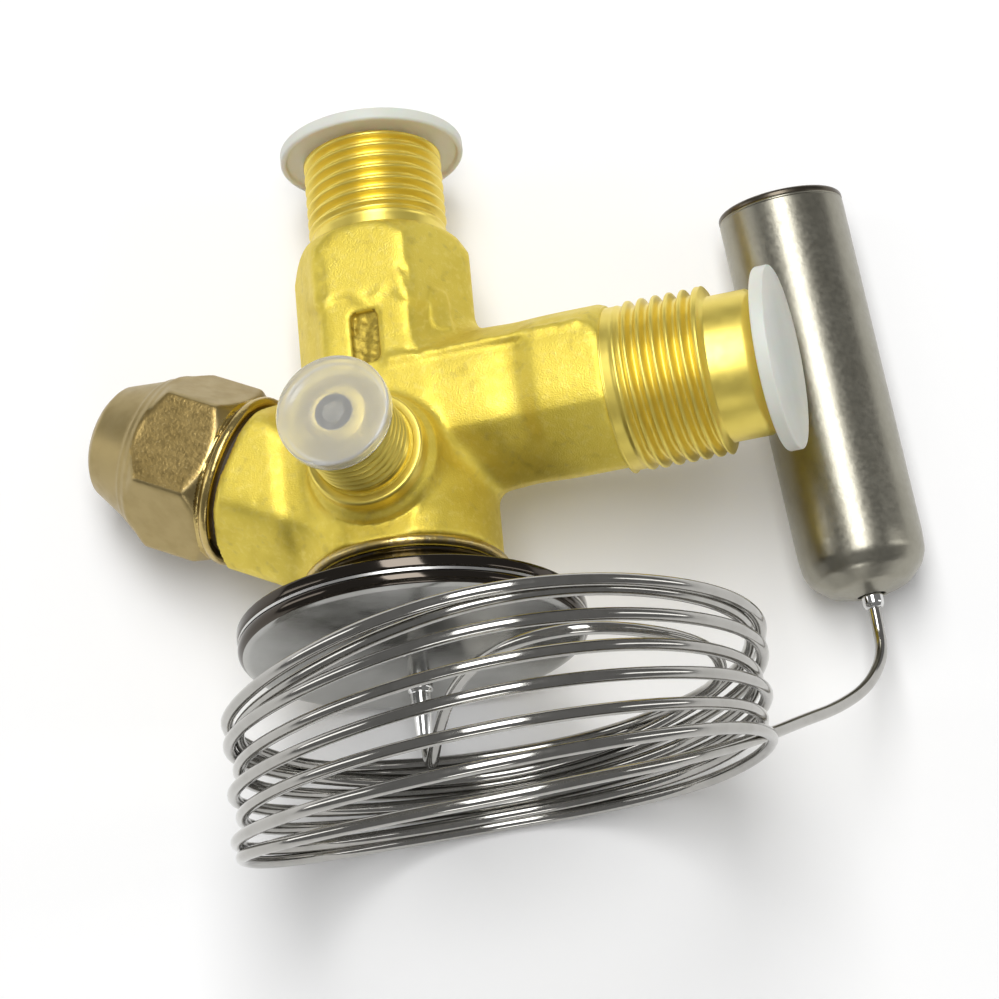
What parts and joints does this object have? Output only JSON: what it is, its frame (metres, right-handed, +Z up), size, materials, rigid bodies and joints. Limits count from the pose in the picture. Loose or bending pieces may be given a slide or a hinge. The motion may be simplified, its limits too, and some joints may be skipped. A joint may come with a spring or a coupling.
{
  "type": "thermostatic expansion valve",
  "caption": "Angle-type thermostatic expansion valve: brass body with flare ports, external equaliser, steel diaphragm element and a coiled capillary to a sensing bulb",
  "frame": {"origin": "centre of the base of the box around the valve without its capillary and bulb, on the table it lies on", "axes": "+Z up from the table; +Y the way the inlet points, along the table; +X the way the outlet points"},
  "size_m": [0.0938, 0.0885, 0.06],
  "materials": {
    "body": "fine-grained forged brass with bright machined threads",
    "seal": "white sealing plastic",
    "cartridge": "machined brass",
    "cone": "ground steel",
    "cone_spring": "spring wire",
    "stop": "pressed steel",
    "strainer": "fine steel mesh",
    "element": "drawn stainless steel",
    "diaphragm": "thin stainless sheet",
    "joint_ring": "braze",
    "thrust_pad": "pressed steel",
    "push_pin": "ground steel",
    "adjusting_ring": "machined brass",
    "spring_seat": "machined brass",
    "superheat_spring": "spring wire",
    "spindle": "machined brass",
    "packing": "black rubber",
    "gland": "machined brass",
    "seal_cap": "dull bronze-brown brass with a sparkly grain",
    "gasket": "soft aluminium ring",
    "plug": "milky translucent plastic",
    "cap_clear": "clearer translucent plastic",
    "stub": "turned steel",
    "capillary": "bright drawn stainless tube",
    "bulb": "brushed stainless with a mottled grain"
  },
  "bodies": {
    "valve": {"valve_body": "body", "cartridge_seal": "seal", "orifice_cartridge": "cartridge", "cone_spring": "cone_spring", "spring_stop": "stop", "strainer": "strainer", "element_upper": "element", "element_lower": "element", "diaphragm": "diaphragm", "joint_ring": "joint_ring", "superheat_spring": "superheat_spring", "spindle_packing": "packing", "gland_nut": "gland", "seal_cap_gasket": "gasket", "capillary_stub": "stub", "capillary_lead": "capillary", "capillary_coil": "capillary", "capillary_tail": "capillary", "bulb": "bulb", "bulb_neck": "stub", "bulb_pip": "stub"},
    "valve_train": {"thrust_pad": "thrust_pad", "push_pin": "push_pin", "valve_cone": "cone"},
    "spindle": {"setting_spindle": "spindle"},
    "crown_ring": {"adjusting_ring": "adjusting_ring"},
    "seat": {"spring_seat": "spring_seat"},
    "cap": {"seal_cap": "seal_cap"},
    "plug_in": {"inlet_plug": "plug"},
    "plug_out": {"outlet_plug": "plug"},
    "cap_eq": {"equalizer_cap": "cap_clear"}
  },
  "joints": [
    {"name": "cone_lift", "type": "slide", "parent": "valve", "child": "valve_train", "axis": [0, 0.9885, -0.151], "range_m": [0, 0.0006], "stiffness_N_per_m": 8000, "springref_m": -0.0015, "deforming": ["superheat_spring", "cone_spring", "diaphragm"]},
    {"name": "spindle_turn", "type": "hinge", "parent": "valve", "child": "spindle", "pos_m": [-0.0055, -0.01596, 0.01765], "axis": [-0.8554, 0.4382, -0.2763], "range_deg": [-540, 540]},
    {"name": "crown_ring_turn", "type": "hinge", "parent": "valve", "child": "crown_ring", "pos_m": [-0.0055, -0.01715, 0.01783], "axis": [0, 0.9885, -0.151], "range_deg": [-270, 270]},
    {"name": "seat_travel", "type": "slide", "parent": "valve", "child": "seat", "axis": [0, 0.9885, -0.151], "range_m": [-0.00075, 0.00075], "deforming": ["superheat_spring"]},
    {"name": "seal_cap_off", "type": "slide", "parent": "valve", "child": "cap", "axis": [-0.8554, 0.4382, -0.2763], "range_m": [0, 0.012]},
    {"name": "inlet_plug_off", "type": "slide", "parent": "valve", "child": "plug_in", "axis": [0, 0.9885, -0.151], "range_m": [0, 0.01]},
    {"name": "outlet_plug_off", "type": "slide", "parent": "valve", "child": "plug_out", "axis": [0.972, 0.0355, 0.2324], "range_m": [0, 0.03]},
    {"name": "equalizer_cap_off", "type": "slide", "parent": "valve", "child": "cap_eq", "axis": [-0.2351, 0.1467, 0.9608], "range_m": [0, 0.02]}
  ],
  "couplings": [
    {"joint": "spindle_turn", "follows": "seat_travel", "rad_per_m": -12566},
    {"joint": "crown_ring_turn", "follows": "seat_travel", "rad_per_m": -6283.2}
  ]
}
